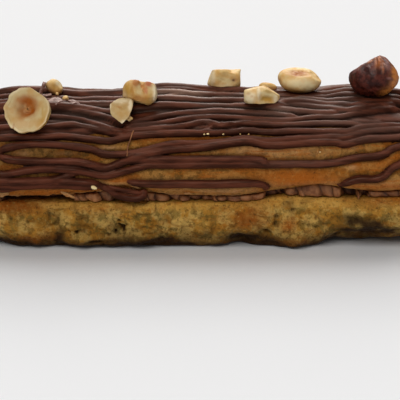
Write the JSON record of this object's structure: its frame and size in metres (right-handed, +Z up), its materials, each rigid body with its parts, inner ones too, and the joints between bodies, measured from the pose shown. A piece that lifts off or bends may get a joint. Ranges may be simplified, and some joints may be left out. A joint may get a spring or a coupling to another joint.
{
  "type": "eclair",
  "caption": "Long eclair: choux base and lid split by piped praline cream, lid striped with thin chocolate strands, hazelnut pieces and one whole hazelnut on top.",
  "frame": {"origin": "middle of the flat bottom that the base rests on", "axes": "+X along the loaf, to the right as pictured; +Y from the shown side to the back; +Z up"},
  "size_m": [0.146, 0.0499, 0.0518],
  "materials": {
    "choux": "baked choux pastry, matte, porous",
    "chocolate": "set milk-dark chocolate, satin",
    "cream": "whipped praline cream, soft satin",
    "nut": "skinned toasted hazelnut, matte",
    "nut_skin": "roasted hazelnut skin, satin"
  },
  "bodies": {
    "root": {"base": "choux", "filling": "cream", "lid": "chocolate", "half_nut_left": "nut", "nut_chip": "nut", "nut_split": "nut", "nut_wedge": "nut", "nut_chunk": "nut", "nut_lump": "nut", "nut_sliver": "nut", "half_nut_right": "nut", "whole_nut": "nut_skin"}
  },
  "joints": []
}
